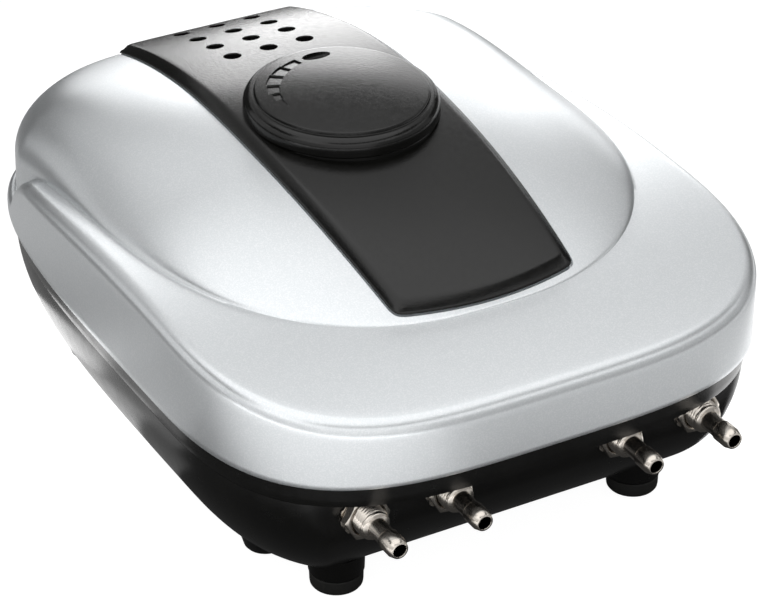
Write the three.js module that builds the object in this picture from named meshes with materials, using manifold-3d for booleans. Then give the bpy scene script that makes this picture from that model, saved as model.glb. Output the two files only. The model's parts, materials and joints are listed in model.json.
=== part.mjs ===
// Electromagnetic aquarium air pump with two diaphragm chambers, in millimetres, +Z up.
// Origin: centre of the footprint, on the plane that the feet stand on. -Y is the front, where the
// air outlets are.
import * as THREE from "three";
import { mergeVertices } from "three/addons/utils/BufferGeometryUtils.js";
import Module from "manifold-3d";

const wasm = await Module();
wasm.setup();

// ---- driving dimensions ----
const HALF_WIDTH = 90; // case half width at the parting line
const FRONT_Y = -112.8; // front of the case at the parting line
const WIDEST_Y = -40.2; // where the case is widest
const REAR_Y = 112.8; // rear of the case at the parting line
const FRONT_POWER = [3.644, 2.775]; // superellipse exponents in x and y, in front of the widest place
const REAR_POWER = [5.96, 3.78]; // and behind it
const PARTING_Z = 53.65; // lower edge of the cover's skirt
const COVER_WALL = 2.4;
const BASE_WALL = 2.6;
const GAP = 0.3; // clearance between pieces that touch
const RING_SIDES = 56; // facets round the case

const DOME_CENTRE_Y = 20; // centre of the dome's front curve
const DOME_HALF_WIDTH = 80.6;
const DOME_FRONT_Y = -77;
const DOME_POWER = 2.45;
const DOME_REAR_INSET = 3; // dome wall to case outline, at the rear
const CROWN_Z = 99.5;
const CROWN_Y = 35;
const DOME_STEP = 0.7; // small step where the dome meets the ledge

const LEDGE_FALL_Y = 52; // the ledge falls away behind this
const LEDGE_END_Y = 79;
const REAR_RIM_Z = 58.5;
const LEDGE_EDGE = 4; // rounding of the ledge's outer edge

const BASE_BOTTOM_Z = 5;
const BAND_Z = 46.8; // lower edge of the base's upper band
const PANEL_Y = -97; // recessed front panel that carries the outlets
const BOWL_DEPTH = 41; // height over which the base walls curve in
const BOWL_REACH = 34; // how far they curve in

const STRIP_FRONT_Y = -74.7; // on the centre line
const STRIP_FRONT_BOW = 4; // the front edge's corners lie this far behind its middle
const STRIP_REAR_Y = 106;
const STRIP_PROUD = 2.6; // strip's top face over the dome
const STRIP_UNDER = 0.6; // strip's underside over the dome, before it is cut clear of it
const STRIP_BEVEL = [3.2, 1.6]; // width and fall of the bevel round its edge
const VENT_WINDOW_X = 20; // half width of the window in the cover under the vent holes
const VENT_WINDOW_Y = [56, 104];
const VENT_RADIUS = 2.6;
const VENT_PITCH_X = 12.65;
const VENT_ROWS_Y = [98.2, 85.9, 73.7, 61.5];

const DIAL_Y = 14;
const DIAL_SEAT_Z = 101;
const DIAL_TILT = THREE.MathUtils.degToRad(3);
const DIAL_RADIUS = 29.7;
const DIAL_HEIGHT = 6.6;
const SHAFT_RADIUS = 3;
const SHAFT_HOLE_RADIUS = 6;
const SEAT_RADIUS = 29.2; // round seat on the strip, level with the dial
const SEAT_RISE = 0.3;
const DIMPLE = { place: [2.1, 20.3], size: [4.6, 2.35, 1.7] };
const SCALE_ANGLES = [102, 118, 133.5, 149.6, 163.5, 175.8, 188]; // engraved wedge, in degrees from +X
const SCALE_OUTER = [21.8, 22.3, 22.6, 22.4, 21.3, 19.9];
const SCALE_INNER = [18.3, 18.2, 18.4, 18.8, 19.2, 19.3];
const SCALE_DEPTH = 0.4;

const OUTLET_X = [-54.8, -28.1, 28.1, 54.8];
const OUTLET_Z = 39.5;
const OUTLET_TIP_Y = -118.4;
const THREAD_RADIUS = 4.8;
const BARB_BORE = 1.9;
const NUT_CORNER_RADIUS = 7.2;
const NUT_THICK = 3;
const NUT_MIDDLE = 18.9; // behind the barb's tip
const WASHER_TEETH = 12;
const WASHER_RADII = [6.4, 7]; // between the teeth, and at their tips
const WASHER_THICK = 0.4;
const WASHER_MIDDLE = 20.9;
const GLAND_SEAT_Y = 111;
const GLAND_END_Y = 118.4;
const GLAND_Z = 33;
const GLAND_BORE = 3.6;
const GLAND_HOLE = 7.3; // hole in the base's rear wall
const FOOT_X = 50.7;
const FOOT_Y = 74.3;
const FOOT_RADIUS = 7.9;
const FOOT_TOP = 4.7;
const SCREW_X = 66;
const SCREW_Y = 60;
const SCREW_WELL_RADIUS = 4.4;
const PILOT_RADIUS = 1.9;
const POST_RADIUS = 4.5;
const POST_FOOT_Z = 20.4;

const CHASSIS_Z = 14;
const CHASSIS_THICK = 3;
const MECH_Z = 38; // height of the arms, magnets and chambers' centres
const PIVOT = [29.5, 66];
const CHAMBER_X = [42, 66];
const CHAMBER_Y = [0, 44];
const PORT_Y = [12, 32]; // outlet and inlet ports of each chamber
const LIMB_Y = [-36, -12]; // front and rear of the core's limb and of the magnets
const LIMB_HALF = 7; // half height of the limb
const BOARD_Z = 82;
const HOSE_SIDES = 8;
const HOSE_RADII = [4.1, 1.6];
// Where the two hoses leave each chamber, as x and z: towards the outer and the inner outlet.
const HOSE_PORTS = [
  [61.5, 44],
  [58, 30],
];

// ---- materials ----
function finish(color, roughness, metalness = 0) {
  return new THREE.MeshStandardMaterial({ color, roughness, metalness });
}
const silverPaint = finish(0xc9ccd2, 0.38, 0.55);
const blackPlastic = finish(0x1d1e1f, 0.5);
const dialPlastic = finish(0x191a1b, 0.4);
const nickel = finish(0xb9b2a6, 0.25, 1);
const rubber = finish(0x141414, 0.85);
const steel = finish(0x9b9ea3, 0.35, 1);
const laminatedSteel = finish(0x6f7276, 0.5, 1);
const copper = finish(0xb5703c, 0.35, 0.9);
const ferrite = finish(0x35363a, 0.6, 0.3);
const whitePlastic = finish(0xd9d8d0, 0.55);
const siliconeHose = finish(0xcfd4d2, 0.35);
const filterFoam = finish(0x3a3b3d, 0.95);
const boardGreen = finish(0x2c6a43, 0.5);

// ---- solids ----
// A closed geometry as a solid with its faces pointing out, whichever way they were wound.
function solid(geometry) {
  const bare = geometry.index ? geometry.toNonIndexed() : geometry.clone();
  bare.deleteAttribute("normal");
  bare.deleteAttribute("uv");
  const merged = mergeVertices(bare, 1e-4);
  const vertProperties = merged.attributes.position.array;
  const triVerts = new Uint32Array(merged.index.array);
  const made = new wasm.Manifold(new wasm.Mesh({ numProp: 3, vertProperties, triVerts }));
  if (made.volume() >= 0) return made;
  return new wasm.Manifold(new wasm.Mesh({ numProp: 3, vertProperties, triVerts: triVerts.reverse() }));
}

function geometryOf(manifold) {
  const mesh = manifold.getMesh();
  const geometry = new THREE.BufferGeometry();
  geometry.setAttribute("position", new THREE.BufferAttribute(mesh.vertProperties, 3));
  geometry.setIndex(new THREE.BufferAttribute(mesh.triVerts, 1));
  geometry.computeVertexNormals();
  return geometry;
}

const pump = new THREE.Group();
pump.name = "aquarium_air_pump";

function add(name, shape, material, place = [0, 0, 0]) {
  const geometry = geometryOf(shape.isBufferGeometry ? solid(shape) : shape);
  const mesh = new THREE.Mesh(geometry, material);
  mesh.name = name;
  mesh.position.set(...place);
  pump.add(mesh);
  return mesh;
}

function block(x, y, z) {
  const geometry = new THREE.BoxGeometry(x[1] - x[0], y[1] - y[0], z[1] - z[0]);
  return geometry.translate((x[0] + x[1]) / 2, (y[0] + y[1]) / 2, (z[0] + z[1]) / 2);
}

// A cylinder along "x", "y" or "z" from one coordinate to another, centred on the other two.
function rod(axis, from, to, centre, radius, sides = 20) {
  const geometry = new THREE.CylinderGeometry(radius, radius, to - from, sides);
  const middle = (from + to) / 2;
  if (axis === "x") geometry.rotateZ(-Math.PI / 2).translate(middle, centre[0], centre[1]);
  if (axis === "y") geometry.translate(centre[0], middle, centre[1]);
  if (axis === "z") geometry.rotateX(Math.PI / 2).translate(centre[0], centre[1], middle);
  return geometry;
}

function turned(profile, sides) {
  return new THREE.LatheGeometry(profile.map(([r, h]) => new THREE.Vector2(r, h)), sides);
}

// A closed skin over a stack of rings of equal length; each end is a centre point or joins the other end.
function skin(rings, capStart, capEnd) {
  const sides = rings[0].length;
  const vertices = rings.flat(2);
  const faces = [];
  for (let r = 0; r + 1 < rings.length; r++) {
    for (let i = 0; i < sides; i++) {
      const a = r * sides + i;
      const b = r * sides + ((i + 1) % sides);
      faces.push(a, a + sides, b, b, a + sides, b + sides);
    }
  }
  const cap = (point, start, flip) => {
    vertices.push(...point);
    const tip = vertices.length / 3 - 1;
    for (let i = 0; i < sides; i++) {
      const a = start + i;
      const b = start + ((i + 1) % sides);
      faces.push(...(flip ? [tip, b, a] : [tip, a, b]));
    }
  };
  cap(capStart, 0, false);
  cap(capEnd, (rings.length - 1) * sides, true);
  const geometry = new THREE.BufferGeometry();
  geometry.setAttribute("position", new THREE.Float32BufferAttribute(vertices, 3));
  geometry.setIndex(faces);
  return geometry;
}

// A closed solid between two grids of points of the same size, the first on top.
function slab(top, under) {
  const rows = top.length;
  const columns = top[0].length;
  const at = (layer, row, column) => (layer * rows + row) * columns + column;
  const faces = [];
  const quad = (a, b, c, d) => faces.push(a, b, c, a, c, d);
  for (let r = 0; r + 1 < rows; r++) {
    for (let c = 0; c + 1 < columns; c++) {
      quad(at(0, r, c), at(0, r, c + 1), at(0, r + 1, c + 1), at(0, r + 1, c));
      quad(at(1, r, c), at(1, r + 1, c), at(1, r + 1, c + 1), at(1, r, c + 1));
    }
    quad(at(0, r, 0), at(0, r + 1, 0), at(1, r + 1, 0), at(1, r, 0));
    quad(at(0, r + 1, columns - 1), at(0, r, columns - 1), at(1, r, columns - 1), at(1, r + 1, columns - 1));
  }
  for (let c = 0; c + 1 < columns; c++) {
    quad(at(0, 0, c + 1), at(0, 0, c), at(1, 0, c), at(1, 0, c + 1));
    quad(at(0, rows - 1, c), at(0, rows - 1, c + 1), at(1, rows - 1, c + 1), at(1, rows - 1, c));
  }
  const geometry = new THREE.BufferGeometry();
  geometry.setAttribute("position", new THREE.Float32BufferAttribute([...top, ...under].flat(2), 3));
  geometry.setIndex(faces);
  return geometry;
}

// ---- case outline and heights ----
// How far out a point lies in the case outline shrunk by inset: 1 is on the outline.
function caseReach(x, y, inset) {
  const front = y < WIDEST_Y;
  const [powerX, powerY] = front ? FRONT_POWER : REAR_POWER;
  const length = front ? WIDEST_Y - FRONT_Y - inset : REAR_Y - WIDEST_Y - inset;
  return (Math.abs(x) / (HALF_WIDTH - inset)) ** powerX + (Math.abs(y - WIDEST_Y) / length) ** powerY;
}

function domeReach(x, y) {
  const front = Math.min(0, y - DOME_CENTRE_Y) / (DOME_FRONT_Y - DOME_CENTRE_Y);
  const curve = (Math.abs(x) / DOME_HALF_WIDTH) ** DOME_POWER + front ** DOME_POWER;
  return Math.max(curve, caseReach(x, y, DOME_REAR_INSET));
}

// Points round a closed outline, found along rays from the case's middle.
function outline(reach, lowestY = -Infinity) {
  const points = [];
  for (let i = 0; i < RING_SIDES; i++) {
    const angle = ((i + 0.5) / RING_SIDES) * 2 * Math.PI;
    const ray = [Math.cos(angle), Math.sin(angle)];
    let near = 0;
    let far = 200;
    for (let step = 0; step < 40; step++) {
      const middle = (near + far) / 2;
      const inside = reach(ray[0] * middle, ray[1] * middle) < 1 && ray[1] * middle > lowestY;
      if (inside) near = middle;
      else far = middle;
    }
    points.push([ray[0] * near, ray[1] * near]);
  }
  return points;
}

const caseOutline = (inset, lowestY) => outline((x, y) => caseReach(x, y, inset), lowestY);
const caseRing = caseOutline(0);
const domeOutline = outline(domeReach);

function ledgeCurve(y) {
  const along = y - FRONT_Y;
  return PARTING_Z + 19.18 + 0.2072 * along - 10.73 * (along / 100) ** 2;
}

function ledgeHeight(y) {
  if (y < LEDGE_FALL_Y) return ledgeCurve(y);
  const fall = Math.min(1, (y - LEDGE_FALL_Y) / (LEDGE_END_Y - LEDGE_FALL_Y));
  return REAR_RIM_Z + (ledgeCurve(LEDGE_FALL_Y) - REAR_RIM_Z) * (1 - fall ** 1.8);
}

function crownHeight(y) {
  const rollStart = 98;
  const rollRadius = 12;
  let z = CROWN_Z;
  if (y < CROWN_Y) z -= 20.6 * ((CROWN_Y - y) / 112) ** 1.9;
  else z -= 0.00243 * (y - CROWN_Y) ** 2;
  if (y > rollStart) {
    const into = Math.min(y - rollStart, rollRadius - 0.05);
    z -= rollRadius - Math.sqrt(rollRadius ** 2 - into ** 2);
  }
  return z;
}

// Half width of the dome at a given y.
function domeHalfWidth(y) {
  let near = 0;
  let far = HALF_WIDTH;
  for (let step = 0; step < 30; step++) {
    const middle = (near + far) / 2;
    if (domeReach(middle, y) < 1) near = middle;
    else far = middle;
  }
  return Math.max(near, 1);
}

function domeHeight(x, y) {
  const across = Math.min(1, Math.abs(x) / domeHalfWidth(y));
  const foot = ledgeCurve(y) + DOME_STEP;
  const rise = Math.max(0, crownHeight(y) - foot);
  return foot + rise * (1 - across ** 2.8) ** 0.667;
}

const scaled = (points, factor) => points.map(([x, y]) => [x * factor, y * factor]);
const raised = (points, height) => points.map(([x, y]) => [x, y, height(x, y)]);

// ---- cover ----
function coverShell() {
  const ledge = domeOutline.map(([x, y], i) => {
    const [outerX, outerY] = caseRing[i];
    const width = Math.hypot(outerX - x, outerY - y);
    const share = Math.max(0.45, 1 - LEDGE_EDGE / width);
    return [x + (outerX - x) * share, y + (outerY - y) * share];
  });
  const edgeDrop = (y) => Math.min(LEDGE_EDGE, ledgeHeight(y) - PARTING_Z - 1.5);
  const shoulder = ledge.map(([x, y], i) => {
    const [outerX, outerY] = caseRing[i];
    return [x + (outerX - x) * 0.71, y + (outerY - y) * 0.71];
  });
  const outer = [0.16, 0.34, 0.5, 0.65, 0.78, 0.89, 0.96, 1].map((share) =>
    raised(scaled(domeOutline, share), domeHeight),
  );
  outer.push(raised(scaled(domeOutline, 1.003), (x, y) => ledgeHeight(y)));
  outer.push(raised(ledge, (x, y) => ledgeHeight(y)));
  outer.push(raised(shoulder, (x, y) => ledgeHeight(y) - 0.29 * edgeDrop(y)));
  outer.push(raised(caseRing, (x, y) => ledgeHeight(y) - edgeDrop(y)));
  outer.push(raised(caseRing, () => PARTING_Z));
  const wall = caseOutline(COVER_WALL);
  const domeInside = scaled(domeOutline, 0.965);
  const under = domeInside.map(([x, y], i) => [(x + 3 * wall[i][0]) / 4, (y + 3 * wall[i][1]) / 4]);
  const inner = [
    raised(wall, () => PARTING_Z),
    raised(wall, (x, y) => ledgeHeight(y) - edgeDrop(y) - 1),
    raised(under, (x, y) => ledgeHeight(y) - COVER_WALL),
    raised(domeInside, (x, y) => ledgeHeight(y) - COVER_WALL),
  ];
  for (const share of [1, 0.8, 0.5]) {
    inner.push(raised(scaled(domeInside, share), (x, y) => domeHeight(x, y) - COVER_WALL));
  }
  const crown = [0, 0, domeHeight(0, 0)];
  const underCrown = [0, 0, domeHeight(0, 0) - COVER_WALL];
  return skin([...outer, ...inner], crown, underCrown);
}

function topCover() {
  let cover = solid(coverShell());
  for (const x of [-SCREW_X, SCREW_X]) {
    for (const y of [-SCREW_Y, SCREW_Y]) {
      const top = y < 0 ? ledgeHeight(y) - 1 : domeHeight(x, y) - 4.5;
      const post = solid(rod("z", POST_FOOT_Z, top, [x, y], POST_RADIUS, 14));
      const pilot = solid(rod("z", POST_FOOT_Z - 1, 40, [x, y], PILOT_RADIUS, 10));
      cover = cover.add(post).subtract(pilot);
    }
  }
  const ventWindow = solid(block([-VENT_WINDOW_X, VENT_WINDOW_X], VENT_WINDOW_Y, [70, 120]));
  const shaftHole = solid(rod("z", 80, 120, [0, DIAL_Y], SHAFT_HOLE_RADIUS, 16));
  return cover.subtract(ventWindow).subtract(shaftHole);
}

// ---- trim strip ----
function stripHalfWidth(y) {
  const along = (y + 71) / 100;
  return 29.4 + 9 * along - 4.3 * along ** 2;
}

// The strip's top or underside as rows from front to rear; over(edge) is the height over the dome.
function stripGrid(over) {
  const bevelShare = STRIP_BEVEL[0] / 31;
  const columns = [-1, bevelShare - 1, -0.5, 0, 0.5, 1 - bevelShare, 1];
  const length = STRIP_REAR_Y - STRIP_FRONT_Y;
  const rows = [0, STRIP_BEVEL[0] / length];
  for (let row = 1; row <= 17; row++) rows.push(row / 17);
  return rows.map((along) =>
    columns.map((across) => {
      const bow = STRIP_FRONT_BOW * across ** 2 * (1 - along);
      const y = STRIP_FRONT_Y + length * along + bow;
      const x = across * stripHalfWidth(y);
      return [x, y, domeHeight(x, y) + over(Math.abs(across) === 1 || along === 0)];
    }),
  );
}

function trimStrip() {
  const top = stripGrid((edge) => STRIP_PROUD - (edge ? STRIP_BEVEL[1] : 0));
  const under = stripGrid(() => STRIP_UNDER);
  const seat = rod("z", -3.6, SEAT_RISE, [0, 0], SEAT_RADIUS, 36).rotateX(DIAL_TILT);
  let strip = solid(slab(top, under)).add(solid(seat.translate(0, DIAL_Y, DIAL_SEAT_Z)));
  for (const y of VENT_ROWS_Y) {
    for (const x of [-VENT_PITCH_X, 0, VENT_PITCH_X]) {
      strip = strip.subtract(solid(rod("z", 80, 110, [x, y], VENT_RADIUS, 12)));
    }
  }
  const raisedDome = solid(coverShell()).translate([0, 0, GAP]);
  return strip.subtract(raisedDome).subtract(solid(rod("z", 80, 110, [0, DIAL_Y], SHAFT_HOLE_RADIUS, 16)));
}

// ---- flow dial ----
function flowDial() {
  const profile = [
    [0, 0.4],
    [DIAL_RADIUS - 0.6, 0.4],
    [DIAL_RADIUS, 1],
    [DIAL_RADIUS, 2.4],
    [28.6, 4.2],
    [26.6, 5.4],
    [24.4, 6],
    [23.8, 5.7],
    [23.2, 6],
    [14, DIAL_HEIGHT],
    [0, DIAL_HEIGHT + 0.3],
  ];
  const body = solid(turned(profile, 36).rotateX(Math.PI / 2));
  const top = 6.2; // height of the top at the dimple and the scale
  const dimple = new THREE.SphereGeometry(1, 16, 10).scale(...DIMPLE.size).translate(...DIMPLE.place, top);
  const socket = solid(rod("z", -1, 5, [0, 0], SHAFT_RADIUS + GAP, 16));
  let dial = body.subtract(solid(dimple)).subtract(socket);
  for (let step = 0; step < SCALE_OUTER.length; step++) {
    const [start, end] = [SCALE_ANGLES[step], SCALE_ANGLES[step + 1]].map(THREE.MathUtils.degToRad);
    const sector = new THREE.Shape();
    sector.absarc(0, 0, SCALE_OUTER[step], start, end, false);
    sector.absarc(0, 0, SCALE_INNER[step], end, start, true);
    const cutter = new THREE.ExtrudeGeometry(sector, { depth: 3, bevelEnabled: false, curveSegments: 3 });
    dial = dial.subtract(solid(cutter.translate(0, 0, top - SCALE_DEPTH)));
  }
  return dial;
}

// ---- base ----
function bowlInset(z) {
  const drop = Math.max(0, Math.min(1, (BAND_Z + 1 - z) / BOWL_DEPTH));
  return 2 + BOWL_REACH * (1 - Math.sqrt(1 - drop ** 2));
}

const panelY = (z) => PANEL_Y + Math.max(0, bowlInset(z) - 4.5);

// The bowl as the outer solid less the inner one.
function bowlPair() {
  const ring = (inset, z, lowestY) => raised(caseOutline(inset, lowestY), () => z);
  const outer = [ring(1.2, PARTING_Z - GAP), ring(1.8, BAND_Z)];
  for (const z of [BAND_Z - 0.02, 38, 30, 22, 15, 9.5, BASE_BOTTOM_Z]) {
    outer.push(ring(bowlInset(z), z, panelY(z)));
  }
  const inner = [ring(1.2 + BASE_WALL, PARTING_Z + 5), ring(1.8 + BASE_WALL, BAND_Z + BASE_WALL)];
  for (const z of [BAND_Z + BASE_WALL - 0.02, 38, 28, 18, BASE_BOTTOM_Z + 3]) {
    inner.push(ring(bowlInset(z) + BASE_WALL, z, panelY(z) + BASE_WALL));
  }
  const middle = (z) => [0, 0, z];
  const outside = solid(skin(outer, middle(PARTING_Z - GAP), middle(BASE_BOTTOM_Z)));
  const inside = solid(skin(inner, middle(PARTING_Z + 5), middle(BASE_BOTTOM_Z + 3)));
  return outside.subtract(inside);
}

function baseHousing() {
  let base = bowlPair();
  const each = (x, y, make) => {
    for (const sideX of [-x, x]) {
      for (const sideY of [-y, y]) base = make(base, sideX, sideY);
    }
  };
  each(FOOT_X, FOOT_Y, (b, x, y) => b.add(solid(rod("z", BASE_BOTTOM_Z, 12, [x, y], 8.2, 18))));
  each(SCREW_X, SCREW_Y, (b, x, y) => b.add(solid(rod("z", 10, 20, [x, y], 6, 14))));
  each(SCREW_X, SCREW_Y, (b, x, y) => b.subtract(solid(rod("z", 0, 14, [x, y], SCREW_WELL_RADIUS, 14))));
  each(SCREW_X, SCREW_Y, (b, x, y) => b.subtract(solid(rod("z", 10, 30, [x, y], PILOT_RADIUS, 10))));
  for (const x of OUTLET_X) {
    base = base.subtract(solid(rod("y", -110, -85, [x, OUTLET_Z], THREAD_RADIUS + GAP, 16)));
  }
  const pad = solid(rod("y", 101, GLAND_SEAT_Y, [0, GLAND_Z], 12, 24));
  return base.add(pad).subtract(solid(rod("y", 95, 120, [0, GLAND_Z], GLAND_HOLE, 20)));
}

// ---- outlets ----
// Profiles run from the tip inwards; h is the distance behind the tip.
function outletBarb() {
  const profile = [
    [BARB_BORE, 0],
    [2.5, 0],
    [3.2, 2],
    [3.2, 6.6],
    [2.8, 6.9],
    [2.8, 12.6],
    [4.4, 13.2],
    [THREAD_RADIUS, 14.4],
    [THREAD_RADIUS, 24.5],
    [2.7, 24.9],
    [2.7, 32],
    [BARB_BORE, 32],
    [BARB_BORE, 0],
  ];
  return solid(turned(profile, 14));
}

function hexNut() {
  const hexagon = new THREE.CylinderGeometry(NUT_CORNER_RADIUS, NUT_CORNER_RADIUS, NUT_THICK, 6);
  const hole = new THREE.CylinderGeometry(THREAD_RADIUS + GAP, THREAD_RADIUS + GAP, NUT_THICK + 2, 16);
  return solid(hexagon.rotateY(Math.PI / 6)).subtract(solid(hole)).translate([0, NUT_MIDDLE, 0]);
}

function lockWasher() {
  const outer = [];
  for (let i = 0; i < WASHER_TEETH * 2; i++) {
    const angle = (i / (WASHER_TEETH * 2)) * 2 * Math.PI;
    outer.push(new THREE.Vector2(Math.cos(angle), Math.sin(angle)).multiplyScalar(WASHER_RADII[i % 2]));
  }
  const shape = new THREE.Shape(outer);
  const plate = new THREE.ExtrudeGeometry(shape, { depth: WASHER_THICK, bevelEnabled: false });
  plate.rotateX(-Math.PI / 2).translate(0, -WASHER_THICK / 2, 0);
  const hole = new THREE.CylinderGeometry(THREAD_RADIUS + GAP, THREAD_RADIUS + GAP, 2, 16);
  return solid(plate).subtract(solid(hole)).translate([0, WASHER_MIDDLE, 0]);
}

// ---- feet, screws, gland ----
function foot() {
  const profile = [
    [0, 0],
    [FOOT_RADIUS - 1.2, 0],
    [FOOT_RADIUS, 1.6],
    [FOOT_RADIUS, 3.8],
    [FOOT_RADIUS - 0.8, FOOT_TOP],
    [0, FOOT_TOP],
  ];
  return turned(profile, 20).rotateX(Math.PI / 2);
}

function caseScrew() {
  const profile = [
    [0, 10.5],
    [2, 11],
    [3.8, 11.6],
    [3.8, 13.6],
    [1.5, 13.7],
    [1.5, 34],
    [0, 36],
  ];
  return turned(profile, 12).rotateX(Math.PI / 2);
}

function cordGland() {
  const flange = GLAND_SEAT_Y + GAP;
  const outside = solid(rod("y", 98, flange + 1, [0, GLAND_Z], 6.9, 20))
    .add(solid(rod("y", flange, flange + 2.6, [0, GLAND_Z], 10.5, 24)))
    .add(solid(rod("y", flange + 1, GLAND_END_Y, [0, GLAND_Z], 5.8, 20)))
    .add(solid(rod("y", 98, 100.7, [0, GLAND_Z], 8.4, 20)));
  return outside.subtract(solid(rod("y", 95, 125, [0, GLAND_Z], GLAND_BORE, 16)));
}

// ---- electromagnet ----
function laminatedCore() {
  const pole = [14, 19];
  const shape = new THREE.Shape();
  const foot = CHASSIS_Z + CHASSIS_THICK + GAP;
  const limb = [MECH_Z - LIMB_HALF, MECH_Z + LIMB_HALF];
  const top = 2 * MECH_Z - foot;
  const corners = [
    [-pole[1], foot],
    [-pole[0], foot],
    [-pole[0], limb[0]],
    [pole[0], limb[0]],
    [pole[0], foot],
    [pole[1], foot],
    [pole[1], top],
    [pole[0], top],
    [pole[0], limb[1]],
    [-pole[0], limb[1]],
    [-pole[0], top],
    [-pole[1], top],
  ];
  shape.setFromPoints(corners.map(([x, z]) => new THREE.Vector2(x, z)));
  const depth = LIMB_Y[1] - LIMB_Y[0];
  const stack = new THREE.ExtrudeGeometry(shape, { depth, bevelEnabled: false });
  return stack.rotateX(Math.PI / 2).translate(0, LIMB_Y[1], 0);
}

// A block round the core's limb, from -x to x, that much larger than the limb.
function limbBlock(x, grow) {
  const y = [LIMB_Y[0] - grow, LIMB_Y[1] + grow];
  return solid(block(x, y, [MECH_Z - LIMB_HALF - grow, MECH_Z + LIMB_HALF + grow]));
}

// A rectangular tube round the core's limb.
function sleeve(x, clearance, thickness) {
  return limbBlock([-x, x], clearance + thickness).subtract(limbBlock([-x - 5, x + 5], clearance));
}

function coilBobbin() {
  const halfLength = 13.5;
  const flangeThick = 1.4;
  const flange = (x) => limbBlock([x, x + flangeThick], 8.5).subtract(limbBlock([x - 1, x + 3], GAP));
  return sleeve(halfLength, GAP, 1.6).add(flange(-halfLength)).add(flange(halfLength - flangeThick));
}

// ---- swing arms, chambers: made for the right side, mirrored for the left ----
function swingArm(side) {
  const bar = solid(block([28, 31], [-40, 63], [MECH_Z - 8, MECH_Z + 8]));
  const hub = solid(rod("z", MECH_Z - 8, MECH_Z + 8, PIVOT, 5.2, 18));
  const bore = solid(rod("z", 0, 80, PIVOT, 2.35, 16));
  return mirrored(bar.add(hub).subtract(bore), side);
}

function mirrored(manifold, side) {
  return side > 0 ? manifold : manifold.mirror([1, 0, 0]);
}

function diaphragm(side) {
  const profile = [
    [0, 0],
    [8, 0],
    [9, 3],
    [14, 4.4],
    [15.4, 7.6],
    [17.4, 7.8],
    [17.4, 9.4],
    [0, 9.4],
  ];
  const cup = turned(profile, 24).rotateZ(-Math.PI / 2).translate(31.3, 22, MECH_Z);
  return mirrored(solid(cup), side);
}

function pumpChamber(side) {
  let body = solid(block(CHAMBER_X, CHAMBER_Y, [18, 58]));
  body = body.subtract(solid(rod("x", 41, 48, [22, MECH_Z], 18.4, 28)));
  for (const y of PORT_Y) {
    body = body.subtract(solid(block([54, 70], [y - 8, y + 8], [MECH_Z - 14, MECH_Z + 12])));
    body = body.subtract(solid(rod("x", 45, 60, [y, MECH_Z], 2.6, 12)));
  }
  for (const [x, z] of HOSE_PORTS) {
    body = body.add(solid(rod("y", -7, 1, [x, z], 2.6, 12)));
    body = body.subtract(solid(rod("y", -8, 6, [x, z], 1.4, 10)));
  }
  return mirrored(body, side);
}

// A thin rubber flap that hangs over one port, on the side it opens to.
function flap(side, y, x) {
  return mirrored(solid(block([x, x + 1], [y - 5, y + 5], [MECH_Z - 8, MECH_Z + 6])), side);
}

function valveCover(side) {
  const plate = solid(block([66.3, 68.3], CHAMBER_Y, [20, 56]));
  const slot = solid(rod("x", 60, 75, [PORT_Y[1], MECH_Z], 3, 12));
  return mirrored(plate.subtract(slot), side);
}

function airHose(side, outletX, port) {
  const start = [side * port[0], -0.5, port[1]];
  const end = [outletX, -86, OUTLET_Z];
  const points = [
    start,
    [start[0], -16, start[2]],
    [(start[0] + end[0]) / 2, -46, (start[2] + end[2]) / 2],
    [end[0], -74, end[2]],
    end,
  ];
  const path = new THREE.CatmullRomCurve3(points.map((p) => new THREE.Vector3(...p)));
  const section = (radius) => {
    const corners = Array.from({ length: HOSE_SIDES }, (_, i) => (i / HOSE_SIDES) * 2 * Math.PI);
    return new THREE.Shape(corners.map((a) => new THREE.Vector2(radius * Math.cos(a), radius * Math.sin(a))));
  };
  const tube = (radius) =>
    solid(new THREE.ExtrudeGeometry(section(radius), { steps: 9, extrudePath: path }));
  const wall = tube(HOSE_RADII[0]);
  const pipe = solid(rod("y", -8, 1, [start[0], start[2]], 2.95, 12));
  const spigot = solid(rod("y", -90, -80, [end[0], end[2]], 3.05, 12));
  return wall.subtract(pipe).subtract(spigot).subtract(tube(HOSE_RADII[1]));
}

// ---- assembly ----
add("top_cover", topCover(), silverPaint);
add("trim_strip", trimStrip(), blackPlastic);
const dial = add("flow_dial", flowDial(), dialPlastic, [0, DIAL_Y, DIAL_SEAT_Z]);
dial.rotation.x = DIAL_TILT;
add("base_housing", baseHousing(), blackPlastic);
add("cord_gland", cordGland(), rubber);

for (const [yName, y] of [["front", -1], ["rear", 1]]) {
  for (const [xName, x] of [["left", -1], ["right", 1]]) {
    add(`foot_${yName}_${xName}`, foot(), rubber, [x * FOOT_X, y * FOOT_Y, 0]);
    add(`case_screw_${yName}_${xName}`, caseScrew(), steel, [x * SCREW_X, y * SCREW_Y, 0]);
  }
}

for (const [i, x] of OUTLET_X.entries()) {
  const place = [x, OUTLET_TIP_Y, OUTLET_Z];
  add(`outlet_barb_${i + 1}`, outletBarb(), nickel, place);
  add(`hex_nut_${i + 1}`, hexNut(), nickel, place);
  add(`lock_washer_${i + 1}`, lockWasher(), nickel, place);
}

add("vent_filter", block([-21, 21], [58, 94], [80.5, 84]), filterFoam);

add("circuit_board", block([-24, 24], [2, 40], [BOARD_Z, BOARD_Z + 1.6]), boardGreen);
add("potentiometer", rod("z", BOARD_Z + 1.9, 94, [0, DIAL_Y], 8.5, 18), blackPlastic);
const shaftRod = rod("z", -4.9, 4.4, [0, 0], SHAFT_RADIUS, 16);
const shaft = add("dial_shaft", shaftRod, nickel, [0, DIAL_Y, DIAL_SEAT_Z]);
shaft.rotation.x = DIAL_TILT;

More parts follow.
